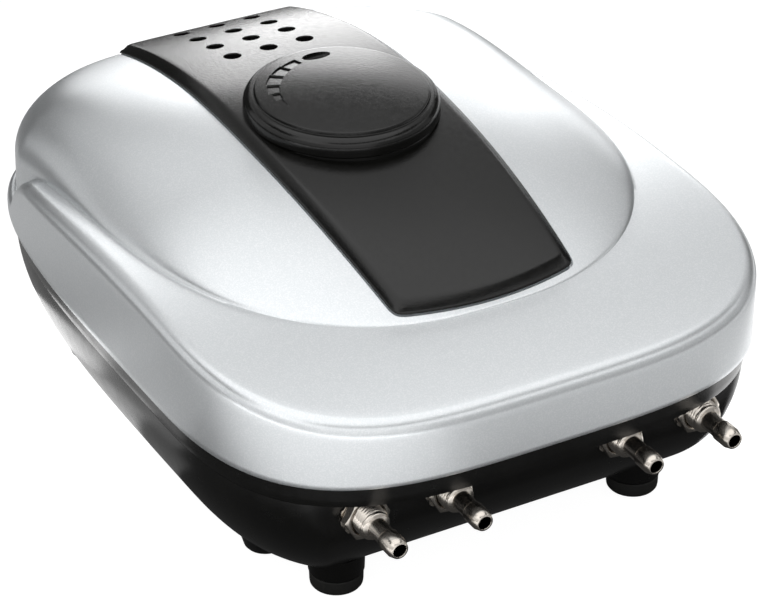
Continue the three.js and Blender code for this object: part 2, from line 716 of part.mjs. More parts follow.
const chassisTop = CHASSIS_Z + CHASSIS_THICK;
add("chassis", block([-57, 57], [-46, 72], [CHASSIS_Z, chassisTop]), steel);
for (const [yName, y] of [["front", -38], ["rear", 58]]) {
  for (const [xName, x] of [["left", -48], ["right", 48]]) {
    add(`chassis_damper_${yName}_${xName}`, rod("z", 8.3, CHASSIS_Z - GAP, [x, y], 5, 14), rubber);
  }
}

add("laminated_core", laminatedCore(), laminatedSteel);
add("coil_bobbin", coilBobbin(), whitePlastic);
add("coil_winding", sleeve(11.8, 2.2, 5.8), copper);

for (const [sideName, side] of [["left", -1], ["right", 1]]) {
  add(`swing_arm_${sideName}`, swingArm(side), steel);
  const magnet = block([22.7, 27.7], LIMB_Y, [MECH_Z - 12, MECH_Z + 12]);
  add(`drive_magnet_${sideName}`, mirrored(solid(magnet), side), ferrite);
  const pin = rod("z", chassisTop + GAP, MECH_Z + 12, PIVOT, 2, 14);
  add(`pivot_pin_${sideName}`, mirrored(solid(pin), side), steel);
  add(`diaphragm_${sideName}`, diaphragm(side), rubber);
  add(`pump_chamber_${sideName}`, pumpChamber(side), whitePlastic);
  add(`valve_cover_${sideName}`, valveCover(side), whitePlastic);
  add(`outlet_flap_${sideName}`, flap(side, PORT_Y[0], 54.3), rubber);
  add(`intake_flap_${sideName}`, flap(side, PORT_Y[1], 46.7), rubber);
}

add("air_hose_1", airHose(-1, OUTLET_X[0], HOSE_PORTS[0]), siliconeHose);
add("air_hose_2", airHose(-1, OUTLET_X[1], HOSE_PORTS[1]), siliconeHose);
add("air_hose_3", airHose(1, OUTLET_X[2], HOSE_PORTS[1]), siliconeHose);
add("air_hose_4", airHose(1, OUTLET_X[3], HOSE_PORTS[0]), siliconeHose);

export default pump;
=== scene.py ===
import json
import math

import bpy
import numpy as np
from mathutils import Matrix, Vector


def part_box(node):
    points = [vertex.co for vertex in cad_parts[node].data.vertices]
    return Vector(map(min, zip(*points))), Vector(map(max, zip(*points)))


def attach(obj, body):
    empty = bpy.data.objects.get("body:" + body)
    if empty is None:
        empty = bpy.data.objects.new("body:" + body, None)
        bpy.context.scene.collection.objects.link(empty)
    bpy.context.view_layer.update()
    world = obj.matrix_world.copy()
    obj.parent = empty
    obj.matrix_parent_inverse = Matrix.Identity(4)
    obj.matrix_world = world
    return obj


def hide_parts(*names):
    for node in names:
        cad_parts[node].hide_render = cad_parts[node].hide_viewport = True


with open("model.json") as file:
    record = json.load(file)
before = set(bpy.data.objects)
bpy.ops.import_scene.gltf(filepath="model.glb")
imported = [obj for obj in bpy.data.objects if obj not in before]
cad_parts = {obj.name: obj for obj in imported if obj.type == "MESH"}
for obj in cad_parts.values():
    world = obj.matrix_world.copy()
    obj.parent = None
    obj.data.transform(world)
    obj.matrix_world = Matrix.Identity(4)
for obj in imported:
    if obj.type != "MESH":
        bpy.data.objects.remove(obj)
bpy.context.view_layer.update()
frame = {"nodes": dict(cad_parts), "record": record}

# Lengths are in millimetres until a mesh is made; MM turns them into metres.
MM = 0.001

# ---- the case's outline and heights, as in the CAD model except where a comment says otherwise ----
HALF_WIDTH = 90
FRONT_Y = -112.8
WIDEST_Y = -40.2
REAR_Y = 112.8
FRONT_POWER = (3.644, 2.775)
REAR_POWER = (5.96, 3.78)
PARTING_Z = 53.65
COVER_WALL = 2.4
BASE_WALL = 2.6
GAP = 0.3
DOME_CENTRE_Y = 20
DOME_HALF_WIDTH = 80.6
DOME_FRONT_Y = -77
DOME_POWER = 2.45
DOME_REAR_INSET = 3
DOME_STEP = 0.3
DOME_ACROSS_POWER = 2.8
DOME_ROUND_POWER = 0.667
# Towards the rear the dome is boxier than the CAD cover's, fully so from BOXY_Y, and rolls over
# later and tighter.
BOXY_Y = 80
BOXY_ACROSS_MORE = 2.4
BOXY_ROUND_LESS = 0.167
ROLL_START = 102.5
ROLL_RADIUS = 8.5
CROWN_Z = 99.5
CROWN_Y = 35
CROWN_FALL = 20.6
CROWN_FALL_LENGTH = 112
CROWN_FALL_POWER = 1.9
CROWN_REAR_BEND = 0.00243
LEDGE_FRONT_RISE = 19.18
LEDGE_SLOPE = 0.2072
LEDGE_BEND = 10.73
LEDGE_FALL_Y = 52
LEDGE_END_Y = 79
LEDGE_FALL_POWER = 1.8
REAR_RIM_Z = 58.5
LEDGE_EDGE = 4
LEDGE_EDGE_SHARE = 0.45  # the rounding starts no nearer to the dome than this share of the ledge
LEAST_SKIRT = 1.5
BAND_Z = 46.8
PANEL_Y = -97
BOWL_DEPTH = 41
BOWL_REACH = 34
STRIP_FRONT_Y = -71
STRIP_REAR_Y = 106
STRIP_PROUD = 2.6
VENT_RADIUS = 2.6
VENT_PITCH_X = 12.65
VENT_ROWS_Y = (98.2, 85.9, 73.7, 61.5)
SCREW_X = 66
SCREW_Y = 60
SIDES = 320  # points round the case


def case_reach(x, y, inset=0.0):
    """How far out a point lies in the case outline shrunk by inset: 1 is on the outline."""
    front = y < WIDEST_Y
    length = np.where(front, WIDEST_Y - FRONT_Y, REAR_Y - WIDEST_Y) - inset
    power_x = np.where(front, FRONT_POWER[0], REAR_POWER[0])
    power_y = np.where(front, FRONT_POWER[1], REAR_POWER[1])
    return (np.abs(x) / (HALF_WIDTH - inset)) ** power_x + (np.abs(y - WIDEST_Y) / length) ** power_y


def dome_reach(x, y):
    front = np.minimum(0, y - DOME_CENTRE_Y) / (DOME_FRONT_Y - DOME_CENTRE_Y)
    curve = (np.abs(x) / DOME_HALF_WIDTH) ** DOME_POWER + front ** DOME_POWER
    return np.maximum(curve, case_reach(x, y, DOME_REAR_INSET))


def outline(reach, lowest_y=-1000.0):
    """Points round a closed outline, found along rays from the case's middle."""
    angle = (np.arange(SIDES) + 0.5) / SIDES * 2 * math.pi
    ray = np.stack([np.cos(angle), np.sin(angle)], 1)
    near = np.zeros(SIDES)
    far = np.full(SIDES, 200.0)
    for _ in range(44):
        middle = (near + far) / 2
        x, y = ray[:, 0] * middle, ray[:, 1] * middle
        inside = (reach(x, y) < 1) & (y > lowest_y)
        near = np.where(inside, middle, near)
        far = np.where(inside, far, middle)
    return ray * near[:, None]


def case_outline(inset, lowest_y=-1000.0):
    return outline(lambda x, y: case_reach(x, y, inset), lowest_y)


def ledge_curve(y):
    along = y - FRONT_Y
    return PARTING_Z + LEDGE_FRONT_RISE + LEDGE_SLOPE * along - LEDGE_BEND * (along / 100) ** 2


def ledge_height(y):
    fall = np.clip((y - LEDGE_FALL_Y) / (LEDGE_END_Y - LEDGE_FALL_Y), 0, 1)
    nose = REAR_RIM_Z + (ledge_curve(LEDGE_FALL_Y) - REAR_RIM_Z) * (1 - fall**LEDGE_FALL_POWER)
    return np.where(y < LEDGE_FALL_Y, ledge_curve(y), nose)


def crown_height(y):
    """Height of the dome along its middle."""
    fall = (np.maximum(CROWN_Y - y, 0) / CROWN_FALL_LENGTH) ** CROWN_FALL_POWER
    front = CROWN_Z - CROWN_FALL * fall
    rear = CROWN_Z - CROWN_REAR_BEND * (y - CROWN_Y) ** 2
    into = np.clip(y - ROLL_START, 0, ROLL_RADIUS - 0.05)
    return np.where(y < CROWN_Y, front, rear) - (ROLL_RADIUS - np.sqrt(ROLL_RADIUS**2 - into**2))


def dome_half_width(y):
    """Half the dome's width at y, found by halving."""
    near = np.zeros_like(y)
    far = np.full_like(y, HALF_WIDTH)
    for _ in range(36):
        middle = (near + far) / 2
        inside = dome_reach(middle, y) < 1
        near = np.where(inside, middle, near)
        far = np.where(inside, far, middle)
    return np.maximum(near, 1)


def dome_height(x, y):
    x = np.asarray(x, float)
    y = np.asarray(y, float)
    across = np.minimum(1, np.abs(x) / dome_half_width(y))
    foot = ledge_curve(y) + DOME_STEP
    over = crown_height(y) - foot
    rise = 0.5 * (over + np.sqrt(over**2 + 0.25))  # stays above 0 where the crown meets the ledge
    rearward = np.clip(y / BOXY_Y, 0, 1)
    rearward = rearward * rearward * (3 - 2 * rearward)
    across_power = DOME_ACROSS_POWER + BOXY_ACROSS_MORE * rearward
    round_power = DOME_ROUND_POWER - BOXY_ROUND_LESS * rearward
    return foot + rise * (1 - across**across_power) ** round_power


def at_height(points, z):
    z = np.broadcast_to(np.asarray(z, float), (len(points),))
    return np.column_stack([points, z])


# ---- mesh tools ----
def skin(rings, closed=False):
    """Vertices and faces over a stack of rings.

    A ring of one point is a pole, and closed joins the last ring to the first.
    """
    starts = np.cumsum([0] + [len(ring) for ring in rings])
    pairs = [(i, i + 1) for i in range(len(rings) - 1)]
    if closed:
        pairs.append((len(rings) - 1, 0))
    faces = []
    for a, b in pairs:
        count_a, count_b = len(rings[a]), len(rings[b])
        count = max(count_a, count_b)
        for i in range(count):
            j = (i + 1) % count
            corners = (
                starts[a] + i % count_a,
                starts[a] + j % count_a,
                starts[b] + j % count_b,
                starts[b] + i % count_b,
            )
            faces.append(tuple(int(corner) for corner in dict.fromkeys(corners)))
    return np.vstack(rings), faces


def outward(shape):
    """The same closed shape with its faces pointing out."""
    points, faces = shape
    fans = [(face[0], face[i], face[i + 1]) for face in faces for i in range(1, len(face) - 1)]
    a, b, c = (points[list(corner)] for corner in zip(*fans))
    if np.einsum("ij,ij->", a, np.cross(b, c)) < 0:
        faces = [face[::-1] for face in faces]
    return points, faces


def joined(parts):
    """Several closed shapes as one."""
    points, faces, start = [], [], 0
    for part in parts:
        part_points, part_faces = outward(part)
        points.append(part_points)
        faces.extend(tuple(corner + start for corner in face) for face in part_faces)
        start += len(part_points)
    return np.vstack(points), faces


def mesh_object(name, shape):
    """An object in metres from (vertices, faces) in millimetres, with its faces pointing out."""
    points, faces = outward(shape)
    mesh = bpy.data.meshes.new(name)
    mesh.from_pydata((points * MM).tolist(), [], faces)
    obj = bpy.data.objects.new(name, mesh)
    bpy.context.scene.collection.objects.link(obj)
    return obj


def carve(obj, shape, operation="DIFFERENCE"):
    """Cuts a closed shape from obj, or joins it on."""
    tool = mesh_object("carving_tool", shape)
    modifier = obj.modifiers.new("carve", "BOOLEAN")
    modifier.object = tool
    modifier.operation = operation
    modifier.solver = "EXACT"
    graph = bpy.context.evaluated_depsgraph_get()
    mesh = bpy.data.meshes.new_from_object(obj.evaluated_get(graph))
    obj.modifiers.clear()
    spent = obj.data
    obj.data = mesh
    bpy.data.meshes.remove(spent)
    bpy.data.objects.remove(tool)


def finished(obj, material, slot, body, *nodes, sharp=38):
    """Smooths the shading, gives the finish, and seats obj on its body in place of its CAD nodes."""
    obj.data.polygons.foreach_set("use_smooth", [True] * len(obj.data.polygons))
    obj.data.set_sharp_from_angle(angle=math.radians(sharp))
    obj.data.materials.clear()
    obj.data.materials.append(material)
    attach(obj, body)
    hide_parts(*nodes)


def angles(sides):
    return np.arange(sides) / sides * 2 * math.pi


def circle(angle, radius, height):
    """A ring about Z; radius and height may vary with the angle."""
    height = np.broadcast_to(np.asarray(height, float), angle.shape)
    return np.stack([radius * np.cos(angle), radius * np.sin(angle), height], 1)


def turned(profile, sides=64, closed=False):
    """A turned shape about Z from (radius, height) points."""
    rings = []
    for radius, height in profile:
        if radius == 0:
            rings.append(np.array([[0.0, 0.0, height]]))
        else:
            rings.append(circle(angles(sides), radius, height))
    return skin(rings, closed)


def along_y(shape, place):
    """Turns a shape about Z into one about Y: its height axis points to the rear."""
    points, faces = shape
    return np.column_stack([points[:, 0], points[:, 2], -points[:, 1]]) + np.asarray(place), faces


def moved(shape, place):
    return shape[0] + np.asarray(place), shape[1]


def block(x, y, z):
    corners = [[x[i], y[j], z[k]] for k in (0, 1) for j in (0, 1) for i in (0, 1)]
    faces = [(0, 2, 3, 1), (4, 5, 7, 6), (0, 1, 5, 4), (1, 3, 7, 5), (3, 2, 6, 7), (2, 0, 4, 6)]
    return np.array(corners, float), faces


def box_mm(node):
    low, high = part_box(node)
    return np.array(low) / MM, np.array(high) / MM


def middle_mm(node):
    low, high = box_mm(node)
    return (low + high) / 2


def smooth_profiles(rings, spread):
    """Rounds the profiles that run across a stack of rings, with spread in millimetres for each ring."""
    stack = np.array(rings)
    count = len(stack)
    step = np.linalg.norm(np.diff(stack, axis=0), axis=2)
    run = np.vstack([np.zeros(stack.shape[1]), np.cumsum(step, axis=0)])
    span = np.gradient(run, axis=0)
    index = np.arange(count)
    total = np.zeros_like(stack)
    weight_sum = np.zeros_like(run)
    width = np.asarray(spread, float)[:, None]
    for offset in range(-18, 19):
        other = index + offset
        real = (other >= 0) & (other < count)
        other = np.clip(other, 0, count - 1)
        weight = np.exp(-(((run - run[other]) / width) ** 2) / 2) * span[other] * real[:, None]
        total += weight[:, :, None] * stack[other]
        weight_sum += weight
    return list(total / np.maximum(weight_sum, 1e-9)[:, :, None])


def smooth_ring(points, spread):
    """Rounds the corners of a closed ring of points."""
    step = np.linalg.norm(np.roll(points, -1, 0) - points, axis=1)
    total = np.zeros_like(points)
    weight_sum = np.zeros(len(points))
    for offset in range(-12, 13):
        far = np.linalg.norm(np.roll(points, offset, 0) - points, axis=1)
        weight = np.exp(-((far / spread) ** 2) / 2) * np.roll(step, offset)
        total += weight[:, None] * np.roll(points, offset, 0)
        weight_sum += weight
    return total / weight_sum[:, None]


# ---- materials ----
def node(tree, kind, **values):
    made = tree.nodes.new(kind)
    for key, value in values.items():
        if hasattr(made, key):
            setattr(made, key, value)
        else:
            made.inputs[key.replace("_", " ")].default_value = value
    return made


class Finish:
    """A Principled material with object-space textures for its colour, roughness and relief."""

    def __init__(self, name, color, roughness, metallic=0.0, specular=0.5, coat=0.0, coat_roughness=0.1):
        self.material = bpy.data.materials.new(name)
        self.material.use_nodes = True
        self.tree = self.material.node_tree
        self.shader = self.tree.nodes["Principled BSDF"]
        self.where = node(self.tree, "ShaderNodeTexCoord").outputs["Object"]
        self.relief = None
        self.color = color
        inputs = self.shader.inputs
        inputs["Base Color"].default_value = (*color, 1)
        inputs["Roughness"].default_value = roughness
        inputs["Metallic"].default_value = metallic
        inputs["Specular IOR Level"].default_value = specular
        inputs["Coat Weight"].default_value = coat
        inputs["Coat Roughness"].default_value = coat_roughness
        self.roughness = roughness

    def noise(self, scale, detail):
        made = node(self.tree, "ShaderNodeTexNoise", Scale=scale, Detail=detail)
        self.tree.links.new(self.where, made.inputs["Vector"])
        return made.outputs["Fac"]

    def cells(self, scale, output="Distance", feature="F1"):
        made = node(self.tree, "ShaderNodeTexVoronoi", Scale=scale)
        made.feature = feature
        self.tree.links.new(self.where, made.inputs["Vector"])
        return made.outputs[output]

    def bands(self, scale, direction, distortion=0.0):
        made = node(self.tree, "ShaderNodeTexWave", Scale=scale, Distortion=distortion)
        made.bands_direction = direction
        self.tree.links.new(self.where, made.inputs["Vector"])
        return made.outputs["Fac"]

    def remap(self, source, low, high, start=0.0, end=1.0):
        made = node(self.tree, "ShaderNodeMapRange")
        self.tree.links.new(source, made.inputs["Value"])
        made.inputs["From Min"].default_value = start
        made.inputs["From Max"].default_value = end
        made.inputs["To Min"].default_value = low
        made.inputs["To Max"].default_value = high
        return made.outputs["Result"]

    def tint(self, source, other, start=0.3, end=0.7):
        """Mixes the base colour towards another where source is high."""
        mix = node(self.tree, "ShaderNodeMix", data_type="RGBA")
        self.tree.links.new(self.remap(source, 0, 1, start, end), mix.inputs[0])
        mix.inputs[6].default_value = (*self.color, 1)
        mix.inputs[7].default_value = (*other, 1)
        held = self.shader.inputs["Base Color"]
        if held.links:
            self.tree.links.new(held.links[0].from_socket, mix.inputs[6])
        self.tree.links.new(mix.outputs[2], held)

    def rough(self, source, change):
        spread = self.remap(source, self.roughness - change, self.roughness + change, 0.25, 0.75)
        self.tree.links.new(spread, self.shader.inputs["Roughness"])

    def bump(self, source, depth_mm, strength=1.0):
        """Adds relief of a given depth, over what is there already."""
        made = node(self.tree, "ShaderNodeBump", Strength=strength, Distance=depth_mm * MM)
        self.tree.links.new(source, made.inputs["Height"])
        if self.relief:
            self.tree.links.new(self.relief, made.inputs["Normal"])
        self.relief = made.outputs["Normal"]
        self.tree.links.new(self.relief, self.shader.inputs["Normal"])


def silver_paint():
    color = (0.66, 0.685, 0.70)
    made = Finish("silver_metallic_paint", color, 0.33, 0.85, coat=0.1, coat_roughness=0.3)
    flakes = made.cells(3200, "Color")
    made.tint(flakes, (0.76, 0.775, 0.79), 0.45, 1.0)
    made.rough(made.noise(900, 3), 0.04)
    made.bump(made.cells(2600), 0.006, 0.5)
    made.bump(made.noise(170, 2), 0.012, 0.25)
    return made.material


def grained_black(name, color=(0.003, 0.003, 0.0027), roughness=0.22, depth=0.028, specular=0.38):
    made = Finish(name, color, roughness, 0, specular)
    made.tint(made.noise(2400, 3), tuple(2 * c for c in color), 0.4, 0.75)
    made.rough(made.noise(700, 2), 0.04)
    made.bump(made.noise(1900, 3), depth, 0.8)
    made.bump(made.cells(1500, feature="SMOOTH_F1"), depth * 0.7, 0.6)
    return made.material


def satin_black(name, color=(0.003, 0.003, 0.0027), roughness=0.25, specular=0.5):
    made = Finish(name, color, roughness, 0, specular)
    made.tint(made.noise(60, 4), tuple(1.7 * c for c in color), 0.4, 0.8)
    made.rough(made.noise(260, 4), 0.03)
    made.bump(made.noise(1200, 2), 0.002, 0.6)
    made.bump(made.noise(45, 2), 0.04, 0.2)
    return made.material


def rubber(name):
    made = Finish(name, (0.011, 0.011, 0.010), 0.62, 0, 0.35)
    made.tint(made.noise(90, 5), (0.026, 0.025, 0.023), 0.45, 0.8)
    made.rough(made.noise(500, 3), 0.08)
    made.bump(made.noise(1400, 4), 0.02, 0.7)
    return made.material


def plated(name, color, roughness, direction="Y"):
    """Turned and plated metal, with painted shade darkening it where the mesh is marked as bore."""
    made = Finish(name, color, roughness, 1.0)
    made.tint(made.noise(350, 4), tuple(0.86 * c for c in color), 0.5, 0.9)
    made.rough(made.noise(1100, 3), 0.03)
    made.bump(made.bands(1600, direction, 1.5), 0.0015, 0.4)
    made.bump(made.noise(500, 2), 0.002, 0.3)
    # Painted shade: the plating turns near black inside the bore, where shade falls.
    painted_bore_shade = node(made.tree, "ShaderNodeAttribute", attribute_name="bore")
    made.tint(painted_bore_shade.outputs["Fac"], (0.012, 0.011, 0.01), 0.2, 0.8)
    return made.material


def moulded(name, color, other, roughness, scale=300, depth=0.01):
    made = Finish(name, color, roughness)
    made.tint(made.noise(scale, 4), other)
    made.rough(made.noise(scale * 3, 3), 0.06)
    made.bump(made.noise(scale * 4, 3), depth, 0.6)
    return made.material


def laminated(name):
    made = Finish(name, (0.30, 0.31, 0.32), 0.42, 0.95)
    made.tint(made.bands(320, "Z"), (0.13, 0.13, 0.135), 0.55, 0.8)
    made.rough(made.noise(420, 3), 0.08)
    made.bump(made.bands(320, "Z"), 0.12, 0.6)
    return made.material


def wound(name):
    made = Finish(name, (0.52, 0.19, 0.07), 0.3, 0.85, 0.5, 0.4)
    turns = made.bands(560, "Y", 0.6)
    made.tint(turns, (0.24, 0.075, 0.03), 0.5, 0.85)
    made.rough(made.noise(420, 3), 0.06)
    made.bump(turns, 0.18, 0.7)
    return made.material


def fibrous(name, color, other):
    made = Finish(name, color, 0.9, 0, 0.2)
    made.tint(made.noise(900, 6), other)
    made.rough(made.noise(1300, 3), 0.05)
    made.bump(made.cells(700), 0.35, 0.9)
    made.bump(made.noise(2500, 4), 0.1, 0.7)
    return made.material


def circuit(name):
    made = Finish(name, (0.03, 0.16, 0.06), 0.35, 0, 0.5, 0.5)
    made.tint(made.bands(110, "X", 3.0), (0.06, 0.27, 0.10), 0.6, 0.66)
    made.rough(made.noise(500, 3), 0.05)
    made.bump(made.bands(110, "X", 3.0), 0.03, 0.6)
    return made.material


paint = silver_paint()
strip_black = grained_black("strip_grained_black")
dial_black = grained_black("dial_grained_black", (0.0025, 0.0025, 0.0022), 0.2, 0.034, 0.38)
bowl_black = satin_black("base_satin_black")
foot_rubber = rubber("foot_rubber")
nickel = plated("nickel_plate", (0.62, 0.575, 0.52), 0.24)
steel = plated("screw_steel", (0.55, 0.55, 0.56), 0.34, "Z")
gland_black = satin_black("gland_satin_black", roughness=0.45)

# ---- top cover ----
dome_ring = outline(dome_reach)
case_ring = case_outline(0)


def edge_drop(y):
    """How far the ledge's outer rounding drops."""
    return np.minimum(LEDGE_EDGE, ledge_height(y) - PARTING_Z - LEAST_SKIRT)


def cover_skin():
    """The cover from its crown over the ledge and the skirt, and back up inside."""
    rings, spread = [], []

    def ring(points, z, soft):
        rings.append(at_height(points, z))
        spread.append(soft)

    for t in np.linspace(0.03, 1, 88):
        share = 1 - (1 - t) ** 1.9
        points = dome_ring * share
        ring(points, dome_height(points[:, 0], points[:, 1]), 0.8 if share < 0.97 else 0.3)
    top = rings[-1][:, 2]
    foot = dome_ring * 1.003
    foot_z = ledge_height(foot[:, 1])
    for share in np.linspace(0, 1, 12)[1:]:
        ring(dome_ring + (foot - dome_ring) * share, top + (foot_z - top) * share, 0.3)
    width = np.linalg.norm(case_ring - dome_ring, axis=1)
    start = np.maximum(LEDGE_EDGE_SHARE, 1 - LEDGE_EDGE / width)[:, None]
    lip = dome_ring + (case_ring - dome_ring) * start
    for share in np.linspace(0, 1, 24)[1:]:
        points = foot + (lip - foot) * share
        ring(points, ledge_height(points[:, 1]), 0.3 if share < 0.15 else 0.8)
    for angle in np.linspace(0, math.pi / 2, 12)[1:]:
        points = lip + (case_ring - lip) * math.sin(angle)
        y = points[:, 1]
        ring(points, ledge_height(y) - edge_drop(y) * (1 - math.cos(angle)), 0.6)
    side_z = rings[-1][:, 2]
    for share in np.linspace(0, 1, 14)[1:]:
        ring(case_ring, side_z + (PARTING_Z + 0.4 - side_z) * share, 0.5)
    rings = smooth_profiles(rings, spread)
    rings[-1][:, 2] = PARTING_Z + 0.4
    rings.append(at_height(case_outline(0.12), PARTING_Z + 0.12))
    rings.append(at_height(case_outline(0.4), PARTING_Z))
    wall = case_outline(COVER_WALL)
    inside = dome_ring * 0.965
    under = (inside + 3 * wall) / 4
    wall_y = wall[:, 1]
    rings.append(at_height(wall, PARTING_Z))
    rings.append(at_height(wall, ledge_height(wall_y) - edge_drop(wall_y) - 1))
    rings.append(at_height(under, ledge_height(under[:, 1]) - COVER_WALL))
    rings.append(at_height(inside, ledge_height(inside[:, 1]) - COVER_WALL))
    for share in (1, 0.9, 0.75, 0.5, 0.25):
        points = inside * share
        rings.append(at_height(points, dome_height(points[:, 0], points[:, 1]) - COVER_WALL))
    crown = float(dome_height(0, 0))
    poles = [np.array([[0, 0, crown]]), np.array([[0, 0, crown - COVER_WALL]])]
    return skin([poles[0], *rings, poles[1]])


STRIP_HALF_WIDTH = 29.4  # at the front
STRIP_WIDENING = 9
STRIP_NARROWING = 4.3
STRIP_NOSE_Y = -74.7
STRIP_NOSE_HALF_WIDTH = 29.3
STRIP_NOSE_BOW = 3.4
STRIP_NOSE_BOW_X = 27
STRIP_POINTS = 560
STRIP_CORNER = 1.2


def strip_half_width(y):
    along = (y - STRIP_FRONT_Y) / 100
    return STRIP_HALF_WIDTH + STRIP_WIDENING * along - STRIP_NARROWING * along**2


def strip_outline():
    """The strip's closed outline, evenly spaced, with a bowed front edge and rounded corners."""
    side_y = np.linspace(STRIP_REAR_Y, STRIP_FRONT_Y + 0.3, 400)
    left = np.column_stack([-strip_half_width(side_y), side_y])
    front_x = np.linspace(-STRIP_NOSE_HALF_WIDTH, STRIP_NOSE_HALF_WIDTH, 120)[1:-1]
    bow = STRIP_NOSE_BOW * (front_x / STRIP_NOSE_BOW_X) ** 2
    front = np.column_stack([front_x, STRIP_NOSE_Y + bow])
    right = (left * [-1, 1])[::-1]
    rear_x = np.linspace(right[-1, 0], left[0, 0], 120)[1:-1]
    rear = np.column_stack([rear_x, np.full(len(rear_x), float(STRIP_REAR_Y))])
    path = np.vstack([left, front, right, rear])
    loop = np.vstack([path, path[:1]])
    run = np.concatenate([[0], np.cumsum(np.linalg.norm(np.diff(loop, axis=0), axis=1))])
    even = np.linspace(0, run[-1], STRIP_POINTS + 1)[:-1]
    points = np.column_stack([np.interp(even, run, loop[:, 0]), np.interp(even, run, loop[:, 1])])
    return smooth_ring(smooth_ring(points, STRIP_CORNER), STRIP_CORNER)


strip_ring = strip_outline()
STRIP_MIDDLE = np.array([0, 17.0])


def strip_inset(distance):
    """The strip's outline moved in by distance, or out where it is negative.

    It is found along rays from the strip's middle.
    """
    start = strip_ring[None]
    edge = np.roll(strip_ring, -1, 0)[None] - start
    ray = strip_ring - STRIP_MIDDLE
    near = np.full(len(ray), 0.9 if distance < 0 else 0.0)
    far = np.full(len(ray), 1.1)
    for _ in range(24):
        share = (near + far) / 2
        points = (STRIP_MIDDLE + ray * share[:, None])[:, None]
        along = np.clip(((points - start) * edge).sum(2) / (edge**2).sum(2), 0, 1)
        gap = np.linalg.norm(points - start - edge * along[:, :, None], axis=2).min(1)
        gap = np.where(share > 1, -gap, gap)
        near = np.where(gap > distance, share, near)
        far = np.where(gap > distance, far, share)
    return STRIP_MIDDLE + ray * near[:, None]


def on_dome(points, over):
    return at_height(points, dome_height(points[:, 0], points[:, 1]) + over)


def seat_groove():
    """The groove that the strip's edge sits in."""
    outer = strip_inset(-0.5)
    inner = strip_inset(0.4)
    rings = [on_dome(outer, -1.3), on_dome(outer, 2), on_dome(inner, 2), on_dome(inner, -1.3)]
    return skin(rings, closed=True)


cover = mesh_object("cover_shell", cover_skin())
posts = []
for post_x in (-SCREW_X, SCREW_X):
    for post_y in (-SCREW_Y, SCREW_Y):
        if post_y < 0:
            post_top = float(ledge_height(post_y)) - 1
        else:
            post_top = float(dome_height(post_x, post_y)) - 4.5
        tube = [(0, 40), (1.9, 40), (1.9, 20.4), (4.5, 20.4), (4.5, post_top), (0, post_top)]
        posts.append(moved(turned(tube, 24), (post_x, post_y, 0)))
shaft_x, shaft_y = middle_mm("dial_shaft")[:2]
shaft_hole = moved(turned([(0, 70), (6, 70), (6, 125), (0, 125)], 48), (shaft_x, shaft_y, 0))
carve(cover, seat_groove())
carve(cover, joined([shaft_hole, block((-20, 20), (56, 104), (70, 120))]))
carve(cover, joined(posts), "UNION")
finished(cover, paint, "silver_paint", "housing", "top_cover")

# ---- trim strip ----
# The strip's edge as (inset, drop) below its top.
STRIP_EDGE = [(0, 2.3), (0, 2.1), (0.1, 1.85), (0.35, 1.55)]
STRIP_EDGE += [(2.5, 0.3), (2.85, 0.12), (3.3, 0.02), (3.9, 0)]
STRIP_UNDER = 0.3  # the underside's height over the dome


def strip_skin():
    rings = []
    for inset, drop in STRIP_EDGE:
        rings.append(on_dome(strip_inset(inset), STRIP_PROUD - drop))
    edge = strip_inset(STRIP_EDGE[-1][0])
    middle = STRIP_MIDDLE
    for share in np.linspace(0.97, 0.02, 44):
        rings.append(on_dome(middle + (edge - middle) * share, STRIP_PROUD))
    rings.append(on_dome(middle[None], STRIP_PROUD))
    under = []
    for share in np.linspace(0.95, 0.05, 16):
        under.append(on_dome(middle + (strip_ring - middle) * share, STRIP_UNDER))
    return skin([on_dome(middle[None], STRIP_UNDER), *under[::-1], *rings])


def tilted(points, about_y, about_z, angle):
    """Turns points about a line along X."""
    y, z = points[:, 1] - about_y, points[:, 2] - about_z
    turned_y = y * math.cos(angle) - z * math.sin(angle) + about_y
    turned_z = y * math.sin(angle) + z * math.cos(angle) + about_z
    return np.column_stack([points[:, 0], turned_y, turned_z])


DIAL_TILT = math.radians(3)
DIAL_Y = 14
DIAL_SEAT_Z = 101
SEAT_RADIUS = 29.2
SEAT_BEVEL = 0.4
SEAT_BELOW_DIAL = 0.55
SEAT_SUNK = 1.4  # the seat's underside over the dome

strip = mesh_object("strip_moulding", strip_skin())


def dial_seat():
    """The raised round seat under the dial, level with the dial, its underside within the strip."""
    unit = circle(angles(128), 1, 0)[:, :2]
    centre = np.array([[0, DIAL_Y]])

    def top(points, under):
        slope = math.tan(DIAL_TILT) * (points[:, 1] - DIAL_Y)
        return at_height(points, DIAL_SEAT_Z - SEAT_BELOW_DIAL - under + slope)

    rings = [on_dome(centre, SEAT_SUNK)]
    rings += [on_dome(centre + unit * radius, SEAT_SUNK) for radius in np.linspace(4, SEAT_RADIUS, 10)]
    rings += [top(centre + unit * SEAT_RADIUS, SEAT_BEVEL), top(centre + unit * (SEAT_RADIUS - SEAT_BEVEL), 0)]
    rings.append(top(centre, 0))
    return skin(rings)


carve(strip, dial_seat(), "UNION")
vents = []
for vent_y in VENT_ROWS_Y:
    slope = math.atan2(float(dome_height(0, vent_y + 1) - dome_height(0, vent_y - 1)), 2)
    for vent_x in (-VENT_PITCH_X, 0, VENT_PITCH_X):
        surface = float(dome_height(vent_x, vent_y)) + STRIP_PROUD
        bore = [(0, -8), (VENT_RADIUS, -8), (VENT_RADIUS, -0.28), (2.95, 0.07), (2.95, 4), (0, 4)]
        points, faces = moved(turned(bore, 48), (vent_x, vent_y, surface))
        vents.append((tilted(points, vent_y, surface, slope), faces))
carve(strip, joined([shaft_hole, *vents]))
finished(strip, strip_black, "grained_black", "housing", "trim_strip")

